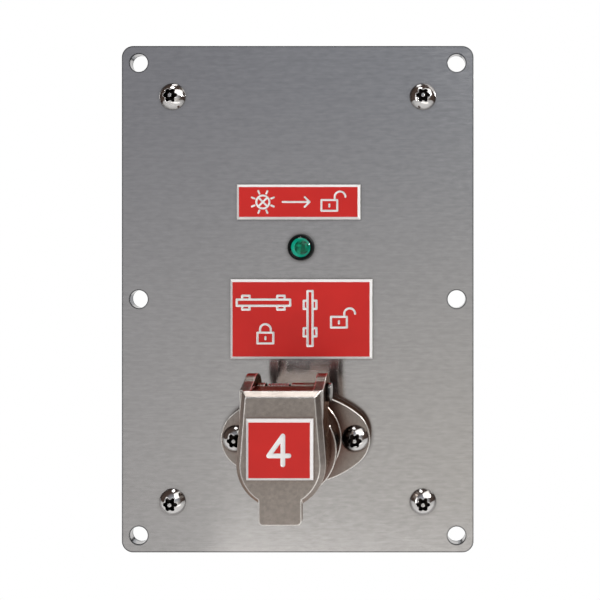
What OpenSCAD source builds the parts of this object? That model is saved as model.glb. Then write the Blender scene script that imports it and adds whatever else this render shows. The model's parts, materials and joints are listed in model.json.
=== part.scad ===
// Panel-mounted trapped key interlock with a solenoid release.
// Millimetres. X is to the right, Y points into the panel, Z is up.
// The origin is the centre of the face plate, on its back face.

/* [Face plate] */
// Width of the face plate
plate_w = 125; // [120:1:150]
// Height of the face plate
plate_h = 180; // [175:1:220]
// Thickness of the face plate
plate_t = 2.5; // [2:0.25:4]
// Corner radius of the face plate
plate_corner = 4; // [1:0.5:6]
// Diameter of the six fixing holes
fix_hole_d = 6.4; // [4.5:0.1:7]
// Distance of the fixing holes from the plate's edges
fix_inset = 6; // [5:0.25:7]

/* [Screws] */
// Thread diameter of the front screws
screw_d = 5; // [4:0.5:5]
// Diameter of the domed screw heads
screw_head_d = 9.5; // [8:0.25:9.75]
// Height of the domed screw heads
screw_head_h = 2.75; // [2:0.25:3.5]
// Tip to tip width of the six-lobe recess
recess_d = 5; // [3.6:0.1:5.6]
// Depth of the six-lobe recess
recess_depth = 2.2; // [1:0.1:2.4]
// Across-flats size of the nuts
nut_af = 8; // [7:0.5:8]
// Height of the nuts
nut_h = 4; // [3:0.5:5]

/* [Chassis] */
// Outside width of the folded chassis
chassis_w = 102; // [98:1:104]
// Length of the folded chassis
chassis_h = 157; // [150:1:162]
// Depth of the folded chassis behind the plate
chassis_d = 50; // [49:1:70]
// Sheet thickness of the chassis
sheet_t = 1.5; // [1:0.25:2]
// Inside bend radius of the chassis
bend_r = 0.8; // [0.5:0.1:0.9]
// Width of the front lips
lip_w = 15; // [13:0.5:18]
// Distance of the front screws from the chassis's outside
screw_inset = 6.5; // [5.5:0.25:8]

/* [Labels] */
// Thickness of the engraved labels
label_t = 1.1; // [0.9:0.1:2]
// Width of the bevel round the labels
label_bevel = 0.9; // [0.3:0.1:1]
// Width of the status label above the lamp
status_w = 43.8; // [30:0.2:60]
// Height of the status label
status_h = 12.4; // [8:0.1:16]
// Sideways place of the status label
status_x = 0.4; // [-4:0.2:4]
// Height of the status label's centre on the plate
status_z = 34.5; // [33:0.5:45]
// Width of the position label under the lamp
position_w = 50.3; // [40:0.1:60]
// Height of the position label
position_h = 28.2; // [20:0.1:29]
// Sideways place of the position label
position_x = 1.4; // [-4:0.2:4]
// Height of the position label's centre on the plate
position_z = -7; // [-7.4:0.1:-2]
// Width of the label on the dust cap
cap_label_w = 20.6; // [14:0.2:21]
// Height of the label on the dust cap
cap_label_h = 18.8; // [12:0.2:19]
// Rise of the cap label's centre above the lock's axis
cap_label_rise = 5.2; // [4:0.1:6]

/* [Lamp] */
// Sideways place of the lamp
lamp_x = 1.2; // [-4:0.2:4]
// Height of the lamp's centre on the plate
lamp_z = 18.4; // [16:0.1:20]
// Diameter of the lamp's bezel
bezel_d = 9.4; // [9:0.1:14]
// Height of the bezel above its seal
bezel_h = 1.1; // [0.6:0.1:2]
// Diameter of the lens where it leaves the bezel
lens_d = 7.6; // [6.4:0.1:7.8]
// Height of the lens's dome above the bezel
dome_h = 1.5; // [0.8:0.1:3]
// Outside diameter of the lamp's threaded tube
lamp_tube_d = 8; // [7:0.25:8.5]
// Bore of the lamp's threaded tube
lamp_bore_d = 6.2; // [5.4:0.1:6.4]
// Length of the lamp's tube behind the plate
lamp_tube_l = 20; // [14:1:30]
// Thickness of the seal under the bezel
seal_t = 0.6; // [0.4:0.1:1.2]
// Across-flats size of the lamp's nut
lamp_nut_af = 12; // [11:0.5:14]
// Height of the lamp's nut
lamp_nut_h = 3; // [2:0.5:5]

/* [Lock body] */
// Height of the lock's axis on the plate, below the centre
lock_z = -48.2; // [-54:0.1:-48]
// Half the width of the oval flange
flange_a = 26; // [25.6:0.1:28]
// Half the height of the oval flange
flange_b = 16.2; // [16.1:0.1:18]
// Radius of the oval flange's ends
flange_end_r = 11; // [9:0.25:13]
// Thickness of the oval flange
flange_t = 4; // [3:0.25:5]
// Distance of the flange screws from the lock's axis
lock_screw_x = 20.8; // [20.8:0.1:22]
// Diameter of the round boss on the flange
boss_d = 31.4; // [30:0.1:31.8]
// Height of the boss above the plate
boss_h = 15; // [13.5:0.25:15.5]
// Diameter of the nose that the cap covers
nose_d = 21; // [20:0.25:21.5]
// Length of the nose in front of the boss
nose_l = 8; // [6:0.25:8.5]
// Diameter of the barrel that passes through the plate
barrel_d = 27; // [26:0.5:30]
// Length of the barrel behind the plate's back
barrel_l = 16; // [14:0.5:17]

/* [Rotor and spindle] */
// Diameter of the rotor
rotor_d = 16.9; // [15.5:0.1:17]
// Width of the key slot
slot_w = 5.6; // [4.8:0.1:6.5]
// Height of the key slot
slot_h = 13.5; // [11:0.25:14]
// Depth of the key slot
slot_depth = 15; // [10:0.5:17]
// Diameter of the spindle
spindle_d = 10; // [8:0.5:10]
// Diameter of the drive pin
drive_pin_d = 3; // [2:0.25:3.5]
// Diameter of the lock cam
cam_d = 28; // [26:0.5:30]
// Thickness of the lock cam
cam_t = 8; // [7.5:0.25:9]
// Depth of the notches in the lock cam
notch_depth = 5.2; // [4.6:0.1:5.5]
// Radius of the switch cam's low part
switch_cam_r = 9; // [8:0.25:10]
// Rise of the switch cam over a quarter turn
switch_cam_rise = 2.5; // [1.5:0.1:3]

/* [Dust cap] */
// Half the width of the cap
cap_half_w = 13.9; // [13.6:0.1:14.4]
// Slope of the cap's sides towards the hinge
cap_taper = 4.5; // [0:0.5:5]
// Wall thickness of the cap's skirt
cap_wall = 1.8; // [1.2:0.1:1.9]
// Thickness of the cap's front
cap_front_t = 2; // [1.5:0.1:2.5]
// Room between the nose and the inside of the cap's front
cap_room = 3; // [2.5:0.1:4]
// Rise of the cap's top edge above the lock's axis
cap_rise = 22.6; // [22.4:0.1:24]
// Bevel round the cap's front
cap_bevel = 1.6; // [0.8:0.1:2]
// Width of the thumb tab
tab_w = 13.2; // [8:0.2:18]
// Distance from the lock's axis to the end of the thumb tab
tab_drop = 18.4; // [15:0.1:22]
// Corner radius of the thumb tab
tab_corner = 1.4; // [0.5:0.1:3]
// Radius of the hinge ears
ear_r = 6; // [5:0.1:6.4]
// Thickness of the hinge ears
ear_t = 3.2; // [2.4:0.1:3.4]
// Distance of the ears' outer faces from the middle
ear_x = 13; // [12.6:0.1:13.4]
// Rise of the hinge axis above the lock's axis
hinge_rise = 19.8; // [19.4:0.1:20.4]
// Height of the hinge axis above the plate
hinge_h = 17.2; // [16.6:0.1:17.6]
// Diameter of the hinge pin
hinge_pin_d = 3; // [2.5:0.1:3]
// Wire diameter of the cap's spring
cap_wire_d = 0.9; // [0.6:0.05:1]
// Number of turns of the cap's spring
cap_spring_turns = 7; // [5:1:7]

/* [Solenoid] */
// Diameter of the locking bolt
bolt_d = 6.9; // [5.5:0.1:7]
// Travel of the locking bolt
bolt_travel = 5; // [3:0.25:5]
// Length of the bolt's spring with the bolt drawn back
bolt_spring_l = 5.2; // [4.8:0.1:6]
// Wire diameter of the bolt's spring
bolt_wire_d = 0.7; // [0.4:0.05:0.8]
// Height and depth of the solenoid's frame
solenoid_w = 21; // [20:0.5:24]
// Sheet thickness of the solenoid's frame
solenoid_sheet_t = 1.6; // [1.2:0.1:2]
// Diameter of the solenoid's winding
coil_d = 16.4; // [13:0.1:16.6]

/* [Switches and terminals] */
// Length of a switch
switch_l = 20; // [19:0.25:26]
// Depth of a switch, without its plunger
switch_depth = 10.3; // [10:0.1:14]
// Thickness of a switch
switch_t = 6.4; // [5.5:0.1:6.8]
// Number of ways on the terminal strip
strip_ways = 8; // [4:1:9]
// Distance between the ways of the terminal strip
strip_pitch = 8.5; // [7.5:0.1:9]
// Height of the terminal strip on the chassis
strip_z = 28; // [20:1:40]

/* [Hidden] */
$fn = 64;

// Clearances
run_clear = 0.05;
side_clear = 0.4;
gap = 0.3;
hole_clear = 0.4;
thread_clear = 0.05;
through = 1;

// Places that several pieces share
fix_x = plate_w / 2 - fix_inset;
fix_z = plate_h / 2 - fix_inset;
screw_x = chassis_w / 2 - screw_inset;
screw_z = chassis_h / 2 - screw_inset;
web_y = chassis_d - sheet_t;
wall_x = chassis_w / 2 - sheet_t;
nose_h = boss_h + nose_l;
cap_back_h = boss_h + gap;
cap_inside_h = nose_h + cap_room;
cap_front_h = cap_inside_h + cap_front_t;
cap_inner_w = cap_half_w - cap_wall;
knuckle_x = ear_x - ear_t - side_clear;
hinge_y = -plate_t - hinge_h;
hinge_z = lock_z + hinge_rise;

// Shape of the oval flange: two small end arcs and two large ones that meet them smoothly
flange_c = flange_a - flange_end_r;
flange_big_r = (flange_c * flange_c + flange_b * flange_b - flange_end_r * flange_end_r)
    / (2 * (flange_b - flange_end_r));
flange_k = flange_big_r - flange_b;
flange_join_x = flange_c * flange_big_r / (flange_big_r - flange_end_r);

// Rotor and spindle along Y
rotor_face_y = -plate_t - nose_h + 0.4;
rotor_bore_d = rotor_d + 2 * run_clear;
collar_y = 4;
collar_t = 4;
collar_d = rotor_d + 4;
counterbore_d = collar_d + 2 * gap;
ring_t = 1.2;
ring_groove = 0.7;
ring_y = collar_y + collar_t + gap;
hub_d = 15;
hub_end_y = barrel_l + 0.5;
spindle_seat_y = collar_y - 6;
cam_y = barrel_l + 2;
bolt_y = cam_y + cam_t / 2;
bush_flange_t = 1.5;
bush_flange_w = 2;
bush_wall = 2;
clip_t = 1;
clip_y = chassis_d + bush_flange_t + gap;
spindle_end_y = clip_y + clip_t + 0.8;

// Switches against the chassis's web
switch_count = 2;
stack_gap = 0.1;
switch_front_y = web_y - switch_count * switch_t;
switch_cam_y = switch_front_y + 0.6;
switch_cam_end_y = web_y - 2;
plunger_tip_r = 1.2;
plunger_w = 3.2;
plunger_depth = 2.4;
plunger_hidden = 3;
switch_face_x = -(switch_cam_r + gap + switch_cam_rise + plunger_tip_r);
switch_hole_d = 2.3;
switch_hole_z = switch_l * 0.24;
switch_hole_x = switch_face_x - switch_depth + 2.6;

// Solenoid between the lock cam and the right wall
bolt_tip_x = cam_d / 2 + 0.6;
bolt_collar_t = 1;
bolt_collar_x = cam_d / 2 + bolt_travel + 0.8;
frame_x = bolt_collar_x + bolt_collar_t + bolt_spring_l;
frame_inside_x = frame_x + solenoid_sheet_t;
frame_back_x = wall_x - solenoid_sheet_t;
core_x = frame_back_x - 7;
bolt_bore_d = bolt_d + 2 * run_clear;
bobbin_tube_t = 1;
bobbin_flange_t = 1.2;
bobbin_w = solenoid_w - 2 * solenoid_sheet_t - 0.2;
solenoid_screw_d = 3;
solenoid_screw_edge = 4;
solenoid_screw_gap = solenoid_w / 2 - solenoid_screw_edge;

// Terminal strip on the back of the chassis
strip_ear = 8;
strip_l = strip_ways * strip_pitch + 2 * strip_ear;
strip_screw_x = strip_l / 2 - strip_ear / 2 + 0.3;
strip_base_h = 7;
strip_h = 15;
strip_depth = 21;
strip_rib_t = 1.6;
strip_screw_d = 3;
terminal_screw_d = 5.6;
grommet_rise = 28;
grommet_z = strip_z + grommet_rise;
grommet_bore_d = 11;
grommet_groove_d = 16;
grommet_d = 20;

// Colours of the finishes
steel = [0.58, 0.58, 0.58];
bright_steel = [0.72, 0.72, 0.72];
nickel = [0.50, 0.47, 0.44];
zinc = [0.66, 0.68, 0.70];
red = [0.78, 0.12, 0.10];
green = [0.02, 0.45, 0.28, 0.8];
black = [0.05, 0.05, 0.05];
brass = [0.72, 0.58, 0.28];
copper = [0.55, 0.25, 0.12];

// Round bar along Y
module rod_y(d, y0, y1) {
    translate([0, y0, 0]) rotate([-90, 0, 0]) cylinder(d = d, h = y1 - y0);
}

// Round bar along X
module rod_x(d, x0, x1) {
    translate([x0, 0, 0]) rotate([0, 90, 0]) cylinder(d = d, h = x1 - x0);
}

// Outline seen from the front, with a depth from y0 to y1
module slab(y0, y1) {
    translate([0, y1, 0]) rotate([90, 0, 0]) linear_extrude(y1 - y0) children();
}

// Outline in Y and Z, drawn out from x0 to x1
module bar_x(x0, x1) {
    translate([x0, 0, 0]) rotate([90, 0, 90]) linear_extrude(x1 - x0) children();
}

// Rectangle with round corners, about its centre
module rounded_rect(w, h, r) {
    square([w - 2 * r, h], center = true);
    square([w, h - 2 * r], center = true);
    for (sx = [-1, 1], sz = [-1, 1]) translate([sx * (w / 2 - r), sz * (h / 2 - r)]) circle(r = r);
}

// Copies at the four corners of a rectangle in X and Z
module at_corners(x, z) {
    for (sx = [-1, 1], sz = [-1, 1]) translate([sx * x, 0, sz * z]) children();
}

// Copies at both flange screws
module at_lock_screws() {
    for (sx = [-1, 1]) translate([sx * lock_screw_x, 0, lock_z]) children();
}

// Six-lobe outline with a tip to tip width d
module six_lobe(d) {
    lobe_r = d * 0.14;
    circle(d = d * 0.74);
    for (i = [0:5]) rotate(60 * i) translate([d / 2 - lobe_r, 0]) circle(r = lobe_r);
}

// Domed screw with a six-lobe recess and a pin in it: seat at the origin, shank along Y
module button_screw(shank_l) {
    dome_r = (pow(screw_head_d / 2, 2) + pow(screw_head_h, 2)) / (2 * screw_head_h);
    rotate([90, 0, 0]) {
        difference() {
            intersection() {
                translate([0, 0, screw_head_h - dome_r]) sphere(r = dome_r);
                cylinder(d = screw_head_d, h = screw_head_h);
            }
            translate([0, 0, screw_head_h - recess_depth]) linear_extrude(recess_depth + through)
                difference() {
                    six_lobe(recess_d);
                    circle(d = recess_d * 0.27);
                }
        }
        translate([0, 0, -shank_l]) cylinder(d = screw_d, h = shank_l);
    }
}

// Hexagon nut with its face at y = 0, its bore a thread's clearance wider than the screw
module hex_nut(af, h, bore_d) {
    slab(0, h) difference() {
        rotate(30) circle(d = af / cos(30), $fn = 6);
        circle(d = bore_d + 2 * thread_clear);
    }
}

// Engraved label seen from the front, its back at y = 0, with a bevel all round
module bevelled_label(w, h) {
    edge = label_t - label_bevel * 0.7;
    intersection() {
        slab(-label_t, 0) square([w, h], center = true);
        translate([0, 0, -h / 2]) linear_extrude(h) polygon([
            [-w / 2, 0], [-w / 2, -edge], [-w / 2 + label_bevel, -label_t],
            [w / 2 - label_bevel, -label_t], [w / 2, -edge], [w / 2, 0]
        ]);
        bar_x(-w / 2, w / 2) polygon([
            [0, -h / 2], [-edge, -h / 2], [-label_t, -h / 2 + label_bevel],
            [-label_t, h / 2 - label_bevel], [-edge, h / 2], [0, h / 2]
        ]);
    }
}

// One ring of points round a wire, in the plane of its radial direction and the X axis
function wire_ring(p, a, wire_r, sides) = [
    for (i = [0:sides - 1])
        let (t = 360 * i / sides, u = wire_r * cos(t))
        p + [wire_r * sin(t), u * cos(a), u * sin(a)]
];

// Wire swept along points, with the radial direction of each given as an angle about X
module swept_wire(points, angles, wire_r, sides) {
    n = len(points);
    rings = [for (i = [0:n - 1]) each wire_ring(points[i], angles[i], wire_r, sides)];
    walls = [
        for (i = [0:n - 2], j = [0:sides - 1])
            let (k = (j + 1) % sides)
            each [
                [i * sides + j, (i + 1) * sides + j, (i + 1) * sides + k],
                [i * sides + j, (i + 1) * sides + k, i * sides + k]
            ]
    ];
    first_cap = [for (j = [0:sides - 1]) j];
    last_cap = [for (j = [sides - 1:-1:0]) (n - 1) * sides + j];
    polyhedron(rings, concat(walls, [first_cap, last_cap]));
}

module face_plate() {
    color(steel) slab(-plate_t, 0) difference() {
        rounded_rect(plate_w, plate_h, plate_corner);
        for (sx = [-1, 1], sz = [-1, 0, 1]) translate([sx * fix_x, sz * fix_z]) circle(d = fix_hole_d);
        for (sx = [-1, 1], sz = [-1, 1]) translate([sx * screw_x, sz * screw_z])
            circle(d = screw_d + hole_clear);
        translate([lamp_x, lamp_z]) circle(d = lamp_tube_d + hole_clear);
        translate([0, lock_z]) circle(d = barrel_d + hole_clear);
        for (sx = [-1, 1]) translate([sx * lock_screw_x, lock_z]) circle(d = screw_d + hole_clear);
    }
}

// Folded channel with inward lips, open at both ends
module chassis() {
    mouth_w = chassis_w - 2 * lip_w;
    vent_w = chassis_w * 0.45;
    vent_h = 4;
    vent_pitch = 9;
    vent_count = 4;
    vent_drop = 22;
    color(zinc) difference() {
        translate([0, 0, -chassis_h / 2]) linear_extrude(chassis_h) difference() {
            translate([0, chassis_d / 2]) rounded_rect(chassis_w, chassis_d, bend_r + sheet_t);
            translate([0, chassis_d / 2])
                rounded_rect(chassis_w - 2 * sheet_t, chassis_d - 2 * sheet_t, bend_r);
            translate([-mouth_w / 2, -through]) square([mouth_w, sheet_t + 2 * through]);
        }
        at_corners(screw_x, screw_z) rod_y(screw_d + hole_clear, -through, sheet_t + through);
        translate([0, 0, lock_z]) rod_y(spindle_d + 2 * bush_wall, web_y - through, chassis_d + through);
        translate([0, 0, grommet_z]) rod_y(grommet_groove_d, web_y - through, chassis_d + through);
        for (sx = [-1, 1]) translate([sx * strip_screw_x, 0, strip_z])
            rod_y(strip_screw_d + hole_clear, web_y - through, chassis_d + through);
        for (sz = [-1, 1]) translate([switch_hole_x, 0, lock_z + sz * switch_hole_z])
            rod_y(switch_hole_d, web_y - through, chassis_d + through);
        for (sz = [-1, 1]) translate([wall_x, bolt_y, lock_z + sz * solenoid_screw_gap])
            rotate([0, 90, 0])
                cylinder(d1 = solenoid_screw_d, d2 = solenoid_screw_d + 2 * sheet_t, h = sheet_t);
        for (i = [0:vent_count - 1]) slab_slot(vent_w, vent_h, strip_z - vent_drop - i * vent_pitch);
    }
}

// Long cooling slot with round ends through the chassis's web
module slab_slot(w, h, z) {
    translate([0, 0, z]) slab(web_y - through, chassis_d + through) rounded_rect(w, h, h / 2 - 0.01);
}

module chassis_screws() {
    shank_l = plate_t + sheet_t + nut_h + 1.5;
    color(bright_steel) at_corners(screw_x, screw_z) translate([0, -plate_t, 0]) button_screw(shank_l);
}

module chassis_nuts() {
    color(zinc) at_corners(screw_x, screw_z) translate([0, sheet_t, 0]) hex_nut(nut_af, nut_h, screw_d);
}

module status_label() {
    color(red) translate([status_x, -plate_t, status_z]) bevelled_label(status_w, status_h);
}

module position_label() {
    color(red) translate([position_x, -plate_t, position_z]) bevelled_label(position_w, position_h);
}

// Threaded lamp tube with a shallow bezel, closed at the back
module lamp_holder() {
    bezel_y = -plate_t - seal_t;
    lens_seat = 1.5;
    end_wall = 2;
    color(black) translate([lamp_x, 0, lamp_z]) difference() {
        union() {
            rod_y(lamp_tube_d, bezel_y, lamp_tube_l);
            translate([0, bezel_y, 0]) rotate([90, 0, 0])
                cylinder(d1 = bezel_d, d2 = bezel_d - 0.5, h = bezel_h);
        }
        rod_y(lens_d, bezel_y - bezel_h - through, bezel_y - bezel_h + lens_seat);
        rod_y(lamp_bore_d, bezel_y - bezel_h, lamp_tube_l - end_wall);
        for (sx = [-1, 1]) translate([sx * lamp_bore_d / 4, 0, 0])
            slab(lamp_tube_l - end_wall - through, lamp_tube_l + through)
                square([0.8, 2], center = true);
    }
}

// Domed green lens, set into the bezel
module lamp_lens() {
    lens_seat = 1.5;
    front_y = -plate_t - seal_t - bezel_h;
    dome_r = (pow(lens_d / 2, 2) + pow(dome_h, 2)) / (2 * dome_h);
    color(green) translate([lamp_x, front_y, lamp_z]) {
        rod_y(lens_d, 0, lens_seat);
        rotate([90, 0, 0]) intersection() {
            translate([0, 0, dome_h - dome_r]) sphere(r = dome_r);
            cylinder(d = lens_d, h = dome_h);
        }
    }
}

module lamp_seal() {
    color(black) translate([lamp_x, 0, lamp_z]) slab(-plate_t - seal_t, -plate_t) difference() {
        circle(d = bezel_d);
        circle(d = lamp_tube_d + 2 * thread_clear);
    }
}

module lamp_nut() {
    color(zinc) translate([lamp_x, 0, lamp_z]) hex_nut(lamp_nut_af, lamp_nut_h, lamp_tube_d);
}

// Light source in the lamp's tube, with its flange in the tube's bore
module lamp_emitter() {
    body_d = 5;
    flange_d = lamp_bore_d - 2 * run_clear;
    tip_y = -plate_t - seal_t - bezel_h + 2;
    color([0.7, 0.85, 0.75]) translate([lamp_x, tip_y, lamp_z]) {
        translate([0, body_d / 2, 0]) sphere(d = body_d);
        rod_y(body_d, body_d / 2, body_d / 2 + 5);
        rod_y(flange_d, body_d / 2 + 5, body_d / 2 + 6);
    }
}

module lamp_pins() {
    pin_out = 6;
    pin_in = 4;
    color(zinc) translate([lamp_x, 0, lamp_z]) for (sx = [-1, 1]) translate([sx * lamp_bore_d / 4, 0, 0])
        slab(lamp_tube_l - pin_in, lamp_tube_l + pin_out) square([0.8, 2], center = true);
}

// Oval flange outline
module flange_outline() {
    intersection() {
        translate([0, -flange_k]) circle(r = flange_big_r);
        translate([0, flange_k]) circle(r = flange_big_r);
        square([2 * flange_join_x, 4 * flange_b], center = true);
    }
    for (sx = [-1, 1]) translate([sx * flange_c, 0]) circle(r = flange_end_r);
}

// Cast lock body: oval flange, boss, nose, barrel and the lug that carries the hinge
module lock_body() {
    knuckle_r = hinge_pin_d;
    nose_bevel = 1;
    lug_root = boss_d / 2 - 5;
    coil_room_r = 4.2;
    coil_left = -knuckle_x * 0.75;
    coil_right = coil_left + cap_spring_turns * (cap_wire_d + 0.1) + cap_wire_d + 2 * side_clear;
    color(nickel) difference() {
        union() {
            translate([0, 0, lock_z]) {
                slab(-plate_t - flange_t, -plate_t) flange_outline();
                rod_y(boss_d, -plate_t - boss_h, -plate_t - flange_t + 0.01);
                rod_y(nose_d, -plate_t - nose_h + nose_bevel, -plate_t - boss_h + 0.01);
                translate([0, -plate_t - nose_h + nose_bevel, 0]) rotate([90, 0, 0])
                    cylinder(d1 = nose_d, d2 = nose_d - 2 * nose_bevel, h = nose_bevel);
                rod_y(barrel_d, -plate_t - 0.01, barrel_l);
            }
            bar_x(-knuckle_x, knuckle_x) {
                translate([hinge_y, hinge_z]) circle(r = knuckle_r);
                polygon([
                    [hinge_y - knuckle_r, hinge_z],
                    [-plate_t - boss_h, lock_z + lug_root],
                    [-plate_t - flange_t, lock_z + lug_root],
                    [-plate_t - flange_t, lock_z + boss_d / 2 - 1],
                    [hinge_y + knuckle_r, hinge_z]
                ]);
            }
        }
        translate([0, hinge_y, hinge_z]) {
            rod_x(hinge_pin_d + 2 * run_clear, -knuckle_x - through, knuckle_x + through);
            rod_x(2 * coil_room_r, coil_left, coil_right);
        }
        translate([0, 0, lock_z]) {
            rod_y(rotor_bore_d, -plate_t - nose_h - through, collar_y);
            rod_y(counterbore_d, collar_y - gap, barrel_l + through);
            rod_y(counterbore_d + 2 * ring_groove, ring_y, ring_y + ring_t);
        }
        at_lock_screws() rod_y(screw_d + hole_clear, -plate_t - flange_t - through, through);
    }
}

module lock_screws() {
    shank_l = flange_t + plate_t + 1 + nut_h + 1.5;
    color(bright_steel) at_lock_screws() translate([0, -plate_t - flange_t, 0]) button_screw(shank_l);
}

module lock_nuts() {
    color(zinc) at_lock_screws() translate([0, 1, 0]) hex_nut(nut_af, nut_h, screw_d);
}

module lock_washers() {
    color(zinc) at_lock_screws() slab(0, 1) difference() {
        circle(d = nut_af + 2);
        circle(d = screw_d + hole_clear);
    }
}

// Turned rotor with the key slot in its face, a collar and a hub
module lock_rotor() {
    color(bright_steel) translate([0, 0, lock_z]) difference() {
        union() {
            rod_y(rotor_d, rotor_face_y, collar_y + 0.01);
            rod_y(collar_d, collar_y, collar_y + collar_t);
            rod_y(hub_d, collar_y + collar_t - 0.01, hub_end_y);
        }
        slab(rotor_face_y - through, rotor_face_y + slot_depth) rounded_rect(slot_w, slot_h, 0.8);
        rod_y(spindle_d, spindle_seat_y, hub_end_y + through);
        translate([0, (ring_y + ring_t + hub_end_y) / 2, 0]) rod_x(drive_pin_d, -hub_d, hub_d);
    }
}

// Open ring in the barrel's groove, behind the rotor's collar
module rotor_ring() {
    ring_d = counterbore_d + 2 * ring_groove - 0.2;
    ring_bore_d = hub_d + 2.5;
    mouth_w = 5;
    color(zinc) translate([0, 0, lock_z]) slab(ring_y + 0.05, ring_y + ring_t - 0.05) difference() {
        circle(d = ring_d);
        circle(d = ring_bore_d);
        translate([-mouth_w / 2, -ring_d]) square([mouth_w, ring_d]);
    }
}

module spindle() {
    bevel = 0.8;
    pin_y = (ring_y + ring_t + hub_end_y) / 2;
    color(bright_steel) translate([0, 0, lock_z]) difference() {
        union() {
            rod_y(spindle_d, spindle_seat_y, spindle_end_y - bevel);
            translate([0, spindle_end_y - bevel, 0]) rotate([-90, 0, 0])
                cylinder(d1 = spindle_d, d2 = spindle_d - 2 * bevel, h = bevel);
        }
        translate([0, pin_y, 0]) rod_x(drive_pin_d, -spindle_d, spindle_d);
        slab(clip_y, clip_y + clip_t) difference() {
            circle(d = spindle_d + through);
            circle(d = spindle_d - 2);
        }
    }
}

module drive_pin() {
    pin_y = (ring_y + ring_t + hub_end_y) / 2;
    color(steel) translate([0, pin_y, lock_z]) rod_x(drive_pin_d, -hub_d / 2, hub_d / 2);
}

// Disc with a notch for the bolt at each end of the quarter turn
module lock_cam() {
    notch_w = bolt_d + 0.8;
    floor_r = cam_d / 2 - notch_depth;
    color(bright_steel) translate([0, 0, lock_z]) slab(cam_y, cam_y + cam_t) difference() {
        circle(d = cam_d);
        circle(d = spindle_d);
        for (a = [0, 90]) rotate(a) translate([floor_r, -notch_w / 2]) square([cam_d, notch_w]);
    }
}

// Cam whose radius rises evenly over the quarter turn that passes the switches
module switch_cam() {
    steps = 30;
    lead = 30;
    low = [for (a = [-30:10:140]) switch_cam_r * [cos(a), sin(a)]];
    rise = [
        for (i = [0:steps])
            let (t = i / steps, a = 180 + 90 * t, r = switch_cam_r + switch_cam_rise * t)
            r * [cos(a), sin(a)]
    ];
    high = [for (a = [280:10:270 + lead]) (switch_cam_r + switch_cam_rise) * [cos(a), sin(a)]];
    lead_in = [for (a = [150:10:170]) switch_cam_r * [cos(a), sin(a)]];
    color(black) translate([0, 0, lock_z]) slab(switch_cam_y, switch_cam_end_y) difference() {
        polygon(concat(low, lead_in, rise, high));
        circle(d = spindle_d);
    }
}

module spindle_bush() {
    bush_d = spindle_d + 2 * bush_wall;
    color(brass) translate([0, 0, lock_z]) difference() {
        union() {
            rod_y(bush_d, web_y - 1.5, chassis_d + 0.01);
            rod_y(bush_d + 2 * bush_flange_w, chassis_d, chassis_d + bush_flange_t);
        }
        rod_y(spindle_d + 2 * run_clear, web_y - 2 * through - 1, chassis_d + bush_flange_t + through);
    }
}

module spindle_clip() {
    color(zinc) translate([0, 0, lock_z]) slab(clip_y + 0.05, clip_y + clip_t - 0.05) difference() {
        circle(d = spindle_d + 5);
        circle(d = spindle_d - 2);
        translate([-spindle_d * 0.35, -spindle_d]) square([spindle_d * 0.7, spindle_d]);
    }
}

// Front outline of the cap: a round end and two tangent sides that slope in towards the top
module cap_outline(half_w, top) {
    top_x = (half_w - top * sin(cap_taper)) / cos(cap_taper);
    circle(r = half_w);
    polygon([
        [-top_x, top], [-half_w * cos(cap_taper), half_w * sin(cap_taper)],
        [half_w * cos(cap_taper), half_w * sin(cap_taper)], [top_x, top]
    ]);
}

// The cap's outside as a solid block: a D on its curve, bevelled, with its sides cut to their slope
module cap_block() {
    side_y = -cap_front_h + cap_bevel;
    side_top = 2 * cap_rise;
    translate([0, -plate_t, lock_z]) difference() {
        union() {
            rod_y(2 * cap_half_w, side_y, -cap_back_h);
            translate([0, side_y, 0]) rotate([90, 0, 0])
                cylinder(r1 = cap_half_w, r2 = cap_half_w - cap_bevel, h = cap_bevel);
            linear_extrude(cap_rise) polygon([
                [-cap_half_w, -cap_back_h], [-cap_half_w, side_y], [-cap_half_w + cap_bevel, -cap_front_h],
                [cap_half_w - cap_bevel, -cap_front_h], [cap_half_w, side_y], [cap_half_w, -cap_back_h]
            ]);
        }
        for (sx = [0, 1]) mirror([sx, 0, 0]) rotate([0, -cap_taper, 0])
            translate([0, 0, -cap_half_w / 2]) linear_extrude(side_top) polygon([
                [cap_half_w, -cap_back_h + through], [cap_half_w, side_y],
                [cap_half_w - cap_bevel - through, -cap_front_h - through],
                [2 * cap_half_w, -cap_front_h - through], [2 * cap_half_w, -cap_back_h + through]
            ]);
    }
}

// Hinged cap: a deep D-shaped pan with two ears at the hinge and a thumb tab
module dust_cap() {
    shelf_t = 1.2;
    shelf_back_h = hinge_h + 3.5;
    top_z = lock_z + cap_rise;
    color(nickel) difference() {
        union() {
            difference() {
                cap_block();
                translate([0, -plate_t, lock_z]) slab(-cap_inside_h, -cap_back_h + through)
                    cap_outline(cap_inner_w, cap_rise - shelf_t);
                translate([-ear_x + ear_t, -plate_t - shelf_back_h, lock_z])
                    cube([2 * (ear_x - ear_t), shelf_back_h, cap_rise + through]);
            }
            for (sx = [0, 1]) mirror([sx, 0, 0]) bar_x(ear_x - ear_t, ear_x) {
                translate([hinge_y, hinge_z]) circle(r = ear_r);
                polygon([
                    [hinge_y, hinge_z + ear_r],
                    [-plate_t - cap_inside_h, top_z],
                    [-plate_t - cap_inside_h, hinge_z - ear_r],
                    [hinge_y, hinge_z - ear_r]
                ]);
            }
            slab(-plate_t - cap_front_h, -plate_t - cap_inside_h) translate([0, lock_z - tab_drop / 2])
                translate([0, -tab_drop / 4]) rounded_rect(tab_w, tab_drop / 2, tab_corner);
        }
        bar_x(-cap_half_w - through, cap_half_w + through) polygon([
            [-plate_t - cap_front_h - through, top_z - cap_bevel - through],
            [-plate_t - cap_front_h - through, top_z + through],
            [-plate_t - cap_front_h + cap_bevel + through, top_z + through]
        ]);
        translate([0, hinge_y, hinge_z]) rod_x(hinge_pin_d, -ear_x - through, ear_x + through);
    }
}

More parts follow.
